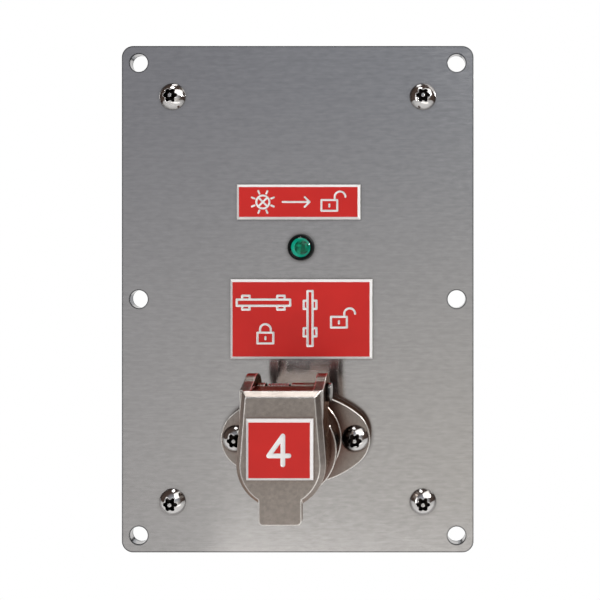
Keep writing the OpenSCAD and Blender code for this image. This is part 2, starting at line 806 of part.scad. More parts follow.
module cap_label() {
    color(red) translate([0, -plate_t - cap_front_h, lock_z + cap_label_rise])
        bevelled_label(cap_label_w, cap_label_h);
}

// Hinge pin, fixed in the cap's ears, with a head on the right
module hinge_pin() {
    head_t = 1.4;
    color(bright_steel) translate([0, hinge_y, hinge_z]) {
        rod_x(hinge_pin_d, -ear_x - 0.5, ear_x + 0.01);
        rod_x(2 * hinge_pin_d, ear_x, ear_x + head_t);
    }
}

// Torsion spring round the hinge pin, one leg on the lug and one inside the cap's front
module cap_spring() {
    wire_r = cap_wire_d / 2;
    mean_r = hinge_pin_d / 2 + 0.45 + wire_r;
    pitch = cap_wire_d + 0.1;
    steps = 16;
    count = cap_spring_turns * steps;
    start_x = -knuckle_x * 0.75 + side_clear + wire_r;
    end_x = start_x + cap_spring_turns * pitch;
    back_leg = 2.9;
    front_leg = cap_inside_h - hinge_h - wire_r - 0.15;
    coil = [
        for (i = [0:count])
            let (a = -90 - 360 * i / steps)
            [start_x + pitch * i / steps, mean_r * cos(a), mean_r * sin(a)]
    ];
    coil_angles = [for (i = [0:count]) -90 - 360 * i / steps];
    points = concat([[start_x, back_leg, -mean_r]], coil, [[end_x, -front_leg, -mean_r]]);
    angles = concat([-90], coil_angles, [-90]);
    color(steel) translate([0, hinge_y, hinge_z]) swept_wire(points, angles, wire_r, 8);
}

// Bent steel frame round the winding
module solenoid_frame() {
    l = wall_x - frame_x;
    color(zinc) difference() {
        translate([frame_x + l / 2, 0, lock_z]) slab(bolt_y - solenoid_w / 2, bolt_y + solenoid_w / 2)
            difference() {
                rounded_rect(l, solenoid_w, solenoid_sheet_t);
                square([l - 2 * solenoid_sheet_t, solenoid_w - 2 * solenoid_sheet_t], center = true);
            }
        translate([0, bolt_y, lock_z]) rod_x(bolt_bore_d, frame_x - through, frame_inside_x + through);
        for (sz = [-1, 1]) translate([0, bolt_y, lock_z + sz * solenoid_screw_gap])
            rod_x(solenoid_screw_d, frame_back_x - through, wall_x + through);
    }
}

// Moulded bobbin: two square flanges on a tube
module solenoid_bobbin() {
    x0 = frame_inside_x;
    x1 = frame_back_x - 2.4;
    color([0.85, 0.85, 0.80]) translate([0, bolt_y, lock_z]) difference() {
        union() {
            rod_x(bolt_bore_d + 2 * bobbin_tube_t, x0, x1);
            for (x = [x0, x1 - bobbin_flange_t]) bar_x(x, x + bobbin_flange_t)
                rounded_rect(bobbin_w, bobbin_w, 1);
        }
        rod_x(bolt_bore_d, x0 - through, x1 + through);
    }
}

module solenoid_coil() {
    x0 = frame_inside_x + bobbin_flange_t;
    x1 = frame_back_x - 2.4 - bobbin_flange_t;
    color(copper) translate([0, bolt_y, lock_z]) bar_x(x0, x1) difference() {
        circle(d = coil_d);
        circle(d = bolt_bore_d + 2 * bobbin_tube_t);
    }
}

// Fixed pole piece at the back of the bobbin, against the frame
module solenoid_core() {
    color(steel) translate([0, bolt_y, lock_z]) {
        rod_x(bolt_d, core_x, frame_back_x);
        rod_x(bolt_d + 3, frame_back_x - 2.3, frame_back_x);
    }
}

// Sliding plunger whose tip locks the cam, with a collar for its spring
module locking_bolt() {
    tip_bevel = 0.8;
    color(bright_steel) translate([0, bolt_y, lock_z]) {
        translate([bolt_tip_x, 0, 0]) rotate([0, 90, 0])
            cylinder(d1 = bolt_d - 2 * tip_bevel, d2 = bolt_d, h = tip_bevel);
        rod_x(bolt_d, bolt_tip_x + tip_bevel, core_x - gap);
        rod_x(bolt_d + 4, bolt_collar_x, bolt_collar_x + bolt_collar_t);
    }
}

// Compression spring between the bolt's collar and the solenoid's frame
module bolt_spring() {
    wire_r = bolt_wire_d / 2;
    mean_r = bolt_d / 2 + 0.4 + wire_r;
    turns = 4;
    steps = 20;
    count = turns * steps;
    x0 = bolt_collar_x + bolt_collar_t + wire_r + 0.1;
    x1 = frame_x - wire_r - 0.1;
    points = [
        for (i = [0:count])
            let (a = -360 * i / steps)
            [x0 + (x1 - x0) * i / count, mean_r * cos(a), mean_r * sin(a)]
    ];
    angles = [for (i = [0:count]) -360 * i / steps];
    color(steel) translate([0, bolt_y, lock_z]) swept_wire(points, angles, wire_r, 8);
}

// Countersunk screws through the chassis's wall into the solenoid's frame
module solenoid_screws() {
    color(zinc) for (sz = [-1, 1]) translate([wall_x, bolt_y, lock_z + sz * solenoid_screw_gap])
        rotate([0, 90, 0]) {
            cylinder(d1 = solenoid_screw_d, d2 = solenoid_screw_d + 2 * sheet_t, h = sheet_t);
            translate([0, 0, -solenoid_sheet_t]) cylinder(d = solenoid_screw_d, h = solenoid_sheet_t);
        }
}

// Two snap switches, one behind the other, with a guide for each plunger
module switches() {
    guide_w = plunger_w + 2 * 0.15;
    guide_depth = plunger_depth + 2 * 0.15;
    guide_l = plunger_hidden + switch_cam_rise + 0.8;
    color(black) for (i = [0:switch_count - 1]) {
        y0 = switch_front_y + i * switch_t;
        difference() {
            slab(y0 + stack_gap, y0 + switch_t) translate([0, lock_z]) difference() {
                translate([switch_face_x - switch_depth / 2, 0]) rounded_rect(switch_depth, switch_l, 0.8);
                for (sz = [-1, 1]) translate([switch_hole_x, sz * switch_hole_z]) circle(d = switch_hole_d);
            }
            translate([switch_face_x - guide_l, y0 + (switch_t - guide_depth) / 2, lock_z - guide_w / 2])
                cube([guide_l + through, guide_depth, guide_w]);
        }
    }
}

// Round-nosed plungers that follow the switch cam
module switch_plungers() {
    tip_x = -(switch_cam_r + gap);
    color([0.75, 0.10, 0.08]) for (i = [0:switch_count - 1]) {
        y0 = switch_front_y + i * switch_t + (switch_t - plunger_depth) / 2;
        translate([0, 0, lock_z]) slab(y0, y0 + plunger_depth) {
            translate([switch_face_x - plunger_hidden, -plunger_w / 2])
                square([tip_x - plunger_tip_r - switch_face_x + plunger_hidden, plunger_w]);
            translate([tip_x - plunger_tip_r, 0]) circle(r = plunger_tip_r);
        }
    }
}

// Solder tabs on the backs of the switches
module switch_tabs() {
    tab_l = 6;
    tab_z = switch_l * 0.36;
    back_x = switch_face_x - switch_depth;
    color(brass) for (i = [0:switch_count - 1], sz = [-1, 0, 1])
        translate([back_x - tab_l, switch_front_y + (i + 0.5) * switch_t - 0.25, lock_z + sz * tab_z - 1.2])
            difference() {
                cube([tab_l, 0.5, 2.4]);
                translate([1.6, 0, 1.2]) rod_y(1.2, -through, through);
            }
}

module switch_screws() {
    head_d = 4;
    head_h = 1.6;
    color(zinc) for (sz = [-1, 1]) translate([switch_hole_x, 0, lock_z + sz * switch_hole_z]) {
        rod_y(switch_hole_d, switch_front_y, chassis_d);
        rod_y(head_d, switch_front_y - head_h, switch_front_y);
    }
}

// Barrier strip on the chassis's back: a stepped base with a rib between the ways
module terminal_strip() {
    y0 = chassis_d;
    half = strip_depth / 2;
    color(black) difference() {
        union() {
            bar_x(-strip_l / 2, strip_l / 2) translate([y0, strip_z]) polygon([
                [0, -half], [strip_base_h - 2, -half], [strip_base_h, -half + 2],
                [strip_base_h, half - 2], [strip_base_h - 2, half], [0, half]
            ]);
            for (i = [0:strip_ways]) translate([(i - strip_ways / 2) * strip_pitch, 0, 0])
                bar_x(-strip_rib_t / 2, strip_rib_t / 2) translate([y0, strip_z]) polygon([
                    [0, -half], [strip_h - 1, -half], [strip_h, -half + 1],
                    [strip_h, half - 1], [strip_h - 1, half], [0, half]
                ]);
        }
        for (sx = [-1, 1]) translate([sx * strip_screw_x, 0, strip_z])
            rod_y(strip_screw_d, y0 - through, y0 + strip_base_h + through);
    }
}

// Slotted clamp screws, two on each way
module terminal_screws() {
    head_h = 2.6;
    plate_thick = 0.8;
    color(zinc) for (i = [0:strip_ways - 1], sz = [-1, 1])
        translate([(i + 0.5 - strip_ways / 2) * strip_pitch, chassis_d + strip_base_h + plate_thick,
            strip_z + sz * strip_depth * 0.24]) difference() {
                rod_y(terminal_screw_d, 0, head_h);
                translate([-terminal_screw_d, head_h - 1.2, -0.5]) cube([2 * terminal_screw_d, 2, 1]);
            }
}

// Contact plate under each pair of clamp screws
module terminal_plates() {
    plate_thick = 0.8;
    plate_width = strip_pitch - strip_rib_t - 2 * gap;
    end_gap = 2.2;
    color(brass) for (i = [0:strip_ways - 1])
        translate([(i + 0.5 - strip_ways / 2) * strip_pitch, 0, strip_z])
            slab(chassis_d + strip_base_h, chassis_d + strip_base_h + plate_thick)
                square([plate_width, strip_depth - 2 * end_gap], center = true);
}

// Screws that hold the strip to the chassis
module strip_screws() {
    head_d = 5.6;
    head_h = 2;
    color(zinc) for (sx = [-1, 1]) translate([sx * strip_screw_x, 0, strip_z]) {
        rod_y(strip_screw_d, web_y - 1.5, chassis_d + strip_base_h);
        rod_y(head_d, chassis_d + strip_base_h, chassis_d + strip_base_h + head_h);
    }
}

// Rubber grommet in the chassis's cable hole
module cable_grommet() {
    lip_t = 1.8;
    color(black) translate([0, 0, grommet_z]) difference() {
        union() {
            rod_y(grommet_d, web_y - lip_t, web_y);
            rod_y(grommet_groove_d, web_y - lip_t, chassis_d + lip_t);
            rod_y(grommet_d, chassis_d, chassis_d + lip_t);
        }
        rod_y(grommet_bore_d, web_y - lip_t - through, chassis_d + lip_t + through);
    }
}

face_plate();
chassis();
chassis_screws();
chassis_nuts();
status_label();
position_label();
lamp_holder();
lamp_lens();
lamp_seal();
lamp_nut();
lamp_emitter();
lamp_pins();
lock_body();
lock_screws();
lock_nuts();
lock_washers();
lock_rotor();
rotor_ring();
spindle();
drive_pin();
lock_cam();
switch_cam();
spindle_bush();
spindle_clip();
dust_cap();
cap_label();
hinge_pin();
cap_spring();
solenoid_frame();
solenoid_bobbin();
solenoid_coil();
solenoid_core();
locking_bolt();
bolt_spring();
solenoid_screws();
switches();
switch_plungers();
switch_tabs();
switch_screws();
terminal_strip();
terminal_screws();
terminal_plates();
strip_screws();
cable_grommet();
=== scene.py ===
import json
import math

import bpy
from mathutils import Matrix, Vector


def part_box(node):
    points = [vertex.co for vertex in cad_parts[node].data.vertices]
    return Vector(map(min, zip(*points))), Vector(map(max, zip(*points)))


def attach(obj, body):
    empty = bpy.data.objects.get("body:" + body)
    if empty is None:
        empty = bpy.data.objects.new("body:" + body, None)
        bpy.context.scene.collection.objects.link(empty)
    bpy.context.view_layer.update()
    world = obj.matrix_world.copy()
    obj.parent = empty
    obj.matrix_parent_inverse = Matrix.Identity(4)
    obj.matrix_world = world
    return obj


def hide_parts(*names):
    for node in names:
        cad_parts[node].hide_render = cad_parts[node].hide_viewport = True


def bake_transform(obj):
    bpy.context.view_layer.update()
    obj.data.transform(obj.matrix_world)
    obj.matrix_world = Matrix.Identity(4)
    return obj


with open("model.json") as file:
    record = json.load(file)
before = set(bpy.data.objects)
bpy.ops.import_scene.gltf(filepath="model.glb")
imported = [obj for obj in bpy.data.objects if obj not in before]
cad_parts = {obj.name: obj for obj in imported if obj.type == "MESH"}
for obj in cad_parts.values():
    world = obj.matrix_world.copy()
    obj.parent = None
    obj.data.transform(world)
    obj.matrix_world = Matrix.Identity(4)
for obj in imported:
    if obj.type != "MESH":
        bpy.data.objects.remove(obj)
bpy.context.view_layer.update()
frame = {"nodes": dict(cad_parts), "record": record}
nodes = frame["nodes"]

# One millimetre, in the scene's metres
MM = 0.001


def middle_of(node):
    """Centre of a node's box."""
    low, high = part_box(node)
    return (Vector(low) + Vector(high)) / 2


# Material helpers

# Rays that the nodes for rounded edges and closed-in corners send out
BUMP_SAMPLES = 6
EDGE_SAMPLES = 8
CORNER_SAMPLES = 8
# How open a corner is, from 0 to 1, where the painted shade is full and where none is left
SHADE_FULL_AT = 0.35
SHADE_ENDS_AT = 0.95
# How alike the rounded and the flat normal are where the painted edge colour is full and where it ends
EDGE_PAINT_FULL_AT = 0.93
EDGE_PAINT_ENDS_AT = 0.995


def new_material(name, metallic=0):
    """An empty node material with a Principled shader wired to its output."""
    mat = bpy.data.materials.new(name)
    mat.use_nodes = True
    tree = mat.node_tree
    tree.nodes.clear()
    out = tree.nodes.new("ShaderNodeOutputMaterial")
    shader = tree.nodes.new("ShaderNodeBsdfPrincipled")
    shader.inputs["Metallic"].default_value = metallic
    tree.links.new(shader.outputs["BSDF"], out.inputs["Surface"])
    return mat, tree, shader


def add(tree, kind, **values):
    """A node of this kind, with its inputs or its properties set by name."""
    node = tree.nodes.new(kind)
    for key, value in values.items():
        if key in node.inputs:
            node.inputs[key].default_value = value
        else:
            setattr(node, key, value)
    return node


def object_coords(tree, scale=(1, 1, 1), origin=(0, 0, 0)):
    """Coordinates of the piece itself, in metres from an origin, multiplied by scale along each axis."""
    coords = add(tree, "ShaderNodeTexCoord")
    shift = [-o * s for o, s in zip(origin, scale)]
    mapping = add(tree, "ShaderNodeMapping", Scale=scale, Location=shift)
    tree.links.new(coords.outputs["Object"], mapping.inputs["Vector"])
    return mapping.outputs["Vector"]


def noise(tree, scale, detail=3.0, roughness=0.55, stretch=(1, 1, 1)):
    """Noise of so many features a metre, drawn out along the axes that have a small factor."""
    texture = add(tree, "ShaderNodeTexNoise", Scale=scale, Detail=detail, Roughness=roughness)
    tree.links.new(object_coords(tree, stretch), texture.inputs["Vector"])
    return texture.outputs["Fac"]


def spread(tree, value, low, high, start=0.3, end=0.7):
    """Maps a value's range from start to end onto low to high. Noise mostly lies from 0.3 to 0.7."""
    node = add(tree, "ShaderNodeMapRange")
    node.inputs["From Min"].default_value = start
    node.inputs["From Max"].default_value = end
    node.inputs["To Min"].default_value = low
    node.inputs["To Max"].default_value = high
    tree.links.new(value, node.inputs["Value"])
    return node.outputs["Result"]


def tones(color, tone):
    """A darker and a lighter shade of a colour."""
    return [c * (1 - tone) for c in color], [min(1, c * (1 + tone)) for c in color]


def mix_color(tree, factor, first, second):
    """Mixes two colours, each given as numbers or as a socket, by a factor from 0 to 1."""
    node = add(tree, "ShaderNodeMix", data_type="RGBA")
    tree.links.new(factor, node.inputs["Factor"])
    color_inputs = [s for s in node.inputs if s.type == "RGBA"]
    for socket, value in zip(color_inputs, (first, second)):
        if isinstance(value, bpy.types.NodeSocket):
            tree.links.new(value, socket)
        else:
            socket.default_value = (*value, 1)
    return next(s for s in node.outputs if s.type == "RGBA")


def surface(tree, shader, shade, texture, smoothest, roughest):
    """Gives the shader a shade, and a roughness that follows a texture between two values."""
    tree.links.new(shade, shader.inputs["Base Color"])
    tree.links.new(spread(tree, texture, smoothest, roughest), shader.inputs["Roughness"])


def bump(tree, shader, texture, height_mm, edge_mm=0.0):
    """Bumps the shader by a texture of some height, over edges that may be broken by a small round."""
    node = add(tree, "ShaderNodeBump", Strength=1.0, Distance=height_mm * MM)
    tree.links.new(texture, node.inputs["Height"])
    if edge_mm:
        edge = add(tree, "ShaderNodeBevel", samples=BUMP_SAMPLES, Radius=edge_mm * MM)
        tree.links.new(edge.outputs["Normal"], node.inputs["Normal"])
    tree.links.new(node.outputs["Normal"], shader.inputs["Normal"])


def painted_corner_shade(tree, shade, painted_shade_color, reach_mm, full_at=SHADE_FULL_AT):
    """Painted shade: turns a colour to a darker one in corners and recesses that are closed in within a
    reach.
    """
    corner = add(tree, "ShaderNodeAmbientOcclusion", samples=CORNER_SAMPLES, Distance=reach_mm * MM)
    unshaded = spread(tree, corner.outputs["AO"], 0, 1, full_at, SHADE_ENDS_AT)
    return mix_color(tree, unshaded, painted_shade_color, shade)


def paint_edge_lighting(tree, shade, painted_edge_color, reach_mm):
    """Turns a colour to another on edges: a painted highlight where the edge colour is light, painted shade
    where it is dark.
    """
    rounded = add(tree, "ShaderNodeBevel", samples=EDGE_SAMPLES, Radius=reach_mm * MM)
    flat = add(tree, "ShaderNodeNewGeometry")
    likeness = add(tree, "ShaderNodeVectorMath", operation="DOT_PRODUCT")
    tree.links.new(rounded.outputs["Normal"], likeness.inputs[0])
    tree.links.new(flat.outputs["Normal"], likeness.inputs[1])
    on_edge = spread(tree, likeness.outputs["Value"], 1, 0, EDGE_PAINT_FULL_AT, EDGE_PAINT_ENDS_AT)
    return mix_color(tree, on_edge, shade, painted_edge_color)


# Materials

def metal(name, color, rough, grain, tone=0.06, rough_span=0.05, bump_mm=0.002, edge_mm=0.15, painted_shade_color=None,
          shade_reach_mm=None, shade_full_at=SHADE_FULL_AT, painted_edge_highlight=None, edge_tint=(1, 1, 1)):
    """Bare metal with a fine grain in its tone and height, and a cloudy gloss.

    Where given, painted shade darkens the corners, and a painted highlight lightens the edges.
    """
    mat, tree, shader = new_material(name, metallic=1)
    shader.inputs["Specular Tint"].default_value = (*edge_tint, 1)
    fine_grain = noise(tree, grain, detail=4, roughness=0.6)
    cloud = noise(tree, scale=60, detail=2)
    shade = mix_color(tree, spread(tree, fine_grain, 0, 1), *tones(color, tone))
    # Painted shade in the corners and a painted highlight on the edges, where given
    if painted_shade_color:
        shade = painted_corner_shade(tree, shade, painted_shade_color, shade_reach_mm, shade_full_at)
    if painted_edge_highlight:
        shade = paint_edge_lighting(tree, shade, painted_edge_highlight, edge_mm)
    surface(tree, shader, shade, cloud, rough - rough_span, rough + rough_span)
    bump(tree, shader, fine_grain, bump_mm, edge_mm)
    return mat


def screw_steel(name, shade_reach_mm, shade_full_at):
    """Polished steel of the screw heads, with painted shade in the recess and round the rim."""
    return metal(name, (0.70, 0.69, 0.68), rough=0.10, grain=1500, tone=0.04, rough_span=0.02,
                 bump_mm=0.0005, edge_mm=0.45, painted_shade_color=(0.01, 0.008, 0.007),
                 shade_reach_mm=shade_reach_mm, shade_full_at=shade_full_at)


def brushed_plate():
    """Stainless sheet brushed along X: fine lines, short flecks between them, painted shade in its corners,
    and painted dark shade along its sheared edges.
    """
    color = (0.50, 0.49, 0.486)
    painted_edge_color = (0.05, 0.052, 0.055)
    edge_mm = 0.9
    painted_shade_color = (0.10, 0.088, 0.08)
    line_tone = 0.05
    fleck_tone = 0.065
    mat, tree, shader = new_material("brushed_plate", metallic=1)
    shader.inputs["Anisotropic"].default_value = 0.8
    shader.inputs["Anisotropic Rotation"].default_value = 0.25
    lines = noise(tree, scale=9000, detail=4, roughness=0.6, stretch=(0.008, 1, 1))
    flecks = noise(tree, scale=900, detail=3, roughness=0.6, stretch=(0.33, 1, 1))
    in_line = spread(tree, lines, 0, 1)
    in_fleck = spread(tree, flecks, 0, 1)
    lined = [mix_color(tree, in_line, *tones(shade, line_tone)) for shade in tones(color, fleck_tone)]
    shade = mix_color(tree, in_fleck, *lined)
    # Painted shade: darker in corners and next to the parts on the plate
    shade = painted_corner_shade(tree, shade, painted_shade_color, reach_mm=1.8)
    # Painted shade: a dark line along the sheared edges
    shade = paint_edge_lighting(tree, shade, painted_edge_color, edge_mm)
    surface(tree, shader, shade, flecks, 0.15, 0.19)
    bump(tree, shader, lines, height_mm=0.0025, edge_mm=edge_mm / 3)
    return mat


def moulding(name, color, rough, grain=1500, bump_mm=0.01, tone=0.12, specular=0.5):
    """Moulded plastic or rubber with a fine spark texture."""
    rough_span = 0.05
    mat, tree, shader = new_material(name)
    shader.inputs["Specular IOR Level"].default_value = specular
    cloud = noise(tree, scale=90, detail=2)
    shade = mix_color(tree, spread(tree, cloud, 0, 1), *tones(color, tone))
    surface(tree, shader, shade, cloud, rough - rough_span, rough + rough_span)
    bump(tree, shader, noise(tree, grain, detail=2), bump_mm, edge_mm=0.2)
    return mat


def laminate(name, color, rough):
    """A layer of the labels' plastic sheet, with a fine satin face."""
    return moulding(name, color, rough, grain=2500, bump_mm=0.004, tone=0.04, specular=0.3)


def turned_steel():
    """Steel with fine rings from the lathe round the lock's axis."""
    color = (0.60, 0.59, 0.57)
    mat, tree, shader = new_material("turned_steel", metallic=1)
    rings = add(tree, "ShaderNodeTexWave", wave_type="RINGS", rings_direction="Y",
                Scale=900, Distortion=0.6)
    tree.links.new(object_coords(tree, origin=middle_of("lock_rotor")), rings.inputs["Vector"])
    shade = mix_color(tree, rings.outputs["Fac"], *tones(color, tone=0.06))
    surface(tree, shader, shade, noise(tree, scale=200), 0.2, 0.3)
    bump(tree, shader, rings.outputs["Fac"], height_mm=0.004)
    return mat


def wound_copper():
    """Enamelled wire wound side by side along the X axis."""
    gap_color = (0.20, 0.06, 0.02)
    wire_color = (0.58, 0.23, 0.09)
    mat, tree, shader = new_material("wound_copper", metallic=1)
    shader.inputs["Coat Weight"].default_value = 0.5
    turns = add(tree, "ShaderNodeTexWave", wave_type="BANDS", bands_direction="X",
                Scale=560, Distortion=0.3)
    tree.links.new(object_coords(tree), turns.inputs["Vector"])
    shade = mix_color(tree, turns.outputs["Fac"], gap_color, wire_color)
    surface(tree, shader, shade, noise(tree, scale=300), 0.25, 0.4)
    bump(tree, shader, turns.outputs["Fac"], height_mm=0.12)
    return mat


def clear_green():
    """Clear green moulding of the lens, slightly cloudy."""
    mat, tree, shader = new_material("clear_green")
    shader.inputs["Transmission Weight"].default_value = 1.0
    shader.inputs["IOR"].default_value = 1.33
    cloud = noise(tree, scale=400, detail=2)
    shade = mix_color(tree, cloud, (0.03, 0.86, 0.70), (0.05, 0.90, 0.74))
    surface(tree, shader, shade, cloud, 0.01, 0.03)
    return mat


def light_source():
    """Green moulding in the lamp's tube, whose cells show dark and light through the lens."""
    dark = (0.004, 0.13, 0.08)
    light = (0.04, 0.62, 0.46)
    mat, tree, shader = new_material("light_source")
    cells = noise(tree, scale=750, detail=1)
    shade = mix_color(tree, spread(tree, cells, 0, 1, start=0.40, end=0.60), dark, light)
    surface(tree, shader, shade, cells, 0.15, 0.3)
    bump(tree, shader, cells, height_mm=0.2, edge_mm=0.2)
    return mat


materials = {
    "plate_steel": brushed_plate(),
    "chassis_zinc": metal("zinc_sheet", (0.60, 0.62, 0.65), rough=0.38, grain=700, tone=0.08, bump_mm=0.01),
    # Painted shade in the screw recesses and round their rims
    "fastener_steel": screw_steel("polished_steel", shade_reach_mm=5, shade_full_at=0.62),
    "fastener_zinc": metal("bright_zinc", (0.60, 0.61, 0.62), rough=0.26, grain=1500),
    # Painted shade in the lock's corners and painted highlights along its edges
    "lock_nickel": metal("satin_nickel", (0.325, 0.288, 0.262), rough=0.24, grain=900, tone=0.14,
                         bump_mm=0.012, edge_mm=0.8, painted_shade_color=(0.12, 0.055, 0.041), shade_reach_mm=9,
                         shade_full_at=0.45, painted_edge_highlight=(0.95, 0.93, 0.90), edge_tint=(0.55, 0.40, 0.33)),
    "rotor_steel": turned_steel(),
    "brass": metal("plain_brass", (0.72, 0.52, 0.22), rough=0.28, grain=1200),
    "spring_steel": metal("spring_wire", (0.50, 0.49, 0.48), rough=0.22, grain=2500, tone=0.08),
    "coil_copper": wound_copper(),
    "lamp_black": moulding("black_lamp_plastic", (0.003, 0.005, 0.005), rough=0.3, specular=0.15),
    "lamp_light": light_source(),
    "rubber_black": moulding("black_rubber", (0.02, 0.02, 0.02), rough=0.65),
    "cam_black": moulding("black_moulding", (0.03, 0.03, 0.032), rough=0.48),
    "bobbin_plastic": moulding("natural_moulding", (0.72, 0.70, 0.62), rough=0.5, tone=0.05),
    "plunger_red": moulding("red_moulding", (0.55, 0.05, 0.04), rough=0.4),
    "label_red": laminate("red_layer", (0.65, 0.022, 0.018), rough=0.40),
    "lens_green": clear_green(),
}
# Painted shade: darker rims for the screws in the flange
rim_shaded_steel = screw_steel("rim_shaded_steel", shade_reach_mm=6, shade_full_at=0.82)
white_core = laminate("white_core", (0.94, 0.93, 0.92), rough=0.45)
reflector_white = moulding("reflector_white", (0.86, 0.88, 0.86), rough=0.3, tone=0.03)
for part in frame["record"]["subparts"]:
    slots = nodes[part["node"]].data.materials
    slots.clear()
    slots.append(materials[part["material_slot"]])
# The flange screws get more painted shade round their rims than those of the plate
nodes["lock_screws"].data.materials[0] = rim_shaded_steel


def mesh_object(name, verts, faces, mats):
    """A mesh object with these materials, in the scene."""
    mesh = bpy.data.meshes.new(name)
    mesh.from_pydata(verts, [], faces)
    for mat in mats:
        mesh.materials.append(mat)
    mesh.update()
    piece = bpy.data.objects.new(name, mesh)
    bpy.context.scene.collection.objects.link(piece)
    return piece


# Engraved labels: signs drawn as strokes in millimetres, u to the right and v up from the label's centre

ARC_STEPS = 20
ROUND_END_STEPS = 8


def arc(u, v, radius, start, end, steps=ARC_STEPS):
    """Points on an arc, with its angles in degrees."""
    angles = [math.radians(start + (end - start) * i / steps) for i in range(steps + 1)]
    return [(u + radius * math.cos(a), v + radius * math.sin(a)) for a in angles]


def stroke(points, width):
    """Outline of a smooth line of some width with round ends."""
    half = width / 2
    path = [Vector(p) for p in points]
    last = len(path) - 1
    along = [(path[min(i + 1, last)] - path[max(i - 1, 0)]).normalized() for i in range(last + 1)]
    left = [(p.x - half * d.y, p.y + half * d.x) for p, d in zip(path, along)]
    right = [(p.x + half * d.y, p.y - half * d.x) for p, d in zip(path, along)]

    def round_end(centre, ahead):
        begin = math.degrees(math.atan2(ahead.y, ahead.x)) + 90
        return arc(centre.x, centre.y, half, begin, begin - 180, ROUND_END_STEPS)[1:-1]

    return left + round_end(path[-1], along[-1]) + right[::-1] + round_end(path[0], -along[0])


def legs(points, width):
    """One stroke for each straight leg of a bent line."""
    return [stroke([a, b], width) for a, b in zip(points, points[1:])]


def box_sign(u0, v0, u1, v1, width):
    """The four sides of a rectangle."""
    return legs([(u0, v0), (u1, v0), (u1, v1), (u0, v1), (u0, v0)], width)


def padlock(u, v, width, is_open):
    """A padlock sign: a body, a keyhole and a shackle that is shut or swung over on one leg."""
    body_w = 5.6
    body_h = 3.8
    body_drop = 1.2
    shackle_r = 1.9
    leg = 1.1
    top = v + body_h / 2 - body_drop
    strokes = box_sign(u - body_w / 2, top - body_h, u + body_w / 2, top, width)
    keyhole = [(u, top - body_h * share) for share in (0.40, 0.62)]
    strokes.append(stroke(keyhole, width))
    shift = 2 * shackle_r if is_open else 0
    near = u - shackle_r + shift
    strokes.append(stroke([(near, top), (near, top + leg)], width))
    strokes.append(stroke(arc(u + shift, top + leg, shackle_r, 180, 0), width))
    if not is_open:
        strokes.append(stroke([(u + shackle_r, top + leg), (u + shackle_r, top)], width))
    return strokes


def key_bar(u, v, length, breadth, lug_length, lug_width, lug_at, width, upright):
    """The key's end view: a long bar with a pair of lugs near each end."""
    rects = [(-length / 2, -breadth / 2, length / 2, breadth / 2)]
    for side in (-1, 1):
        near = side * breadth / 2
        far = side * (breadth / 2 + lug_width)
        for end in (-1, 1):
            lug_start = end * lug_at - lug_length / 2
            lug_end = end * lug_at + lug_length / 2
            rects.append((lug_start, min(near, far), lug_end, max(near, far)))
    strokes = []
    for a0, b0, a1, b1 in rects:
        if upright:
            a0, b0, a1, b1 = b0, a0, b1, a1
        strokes += box_sign(u + a0, v + b0, u + a1, v + b1, width)
    return strokes


def lamp_sign(u, v, radius, width):
    """A lamp: a crossed circle with short rays."""
    rays = 8
    ray_start = radius + 0.9
    ray_end = radius + 1.9
    strokes = [stroke(arc(u, v, radius, start, start + 180), width) for start in (0, 180)]
    for turn in (45, 135):
        crossing = [arc(u, v, reach, turn, turn)[0] for reach in (radius, -radius)]
        strokes.append(stroke(crossing, width))
    for i in range(rays):
        turn = 360 / rays * (i + 0.5)
        ray = [arc(u, v, reach, turn, turn)[0] for reach in (ray_start, ray_end)]
        strokes.append(stroke(ray, width))
    return strokes


def arrow_sign(u0, u1, v, width):
    """An arrow to the right."""
    head = 1.7
    shaft = [(u0, v), (u1, v)]
    point = [(u1 - head, v + head), (u1, v), (u1 - head, v - head)]
    return legs(shaft, width) + legs(point, width)


def figure_four(height, width):
    """A plain figure four."""
    top = height / 2
    bar = -height * 0.19
    stem = height * 0.13
    left = -height * 0.36
    right = height * 0.34
    return legs([(stem, -top), (stem, top), (left, bar), (right, bar)], width)


def add_prism(verts, faces, outline, near, far):
    """Adds a closed prism, with its outline in X and Z, to a list of points and faces."""
    first = len(verts)
    n = len(outline)
    for y in (near, far):
        verts.extend((x, y, z) for x, z in outline)
    faces.append([first + i for i in reversed(range(n))])
    faces.append([first + n + i for i in range(n)])
    for i in range(n):
        j = (i + 1) % n
        faces.append([first + i, first + j, first + n + j, first + n + i])


LABEL_BEVEL = 0.9 * MM
LABEL_EDGE = 0.47 * MM
ENGRAVED_DEPTH = 0.35 * MM
# Places of the two layers in a label's list of materials
RED = 0
WHITE = 1


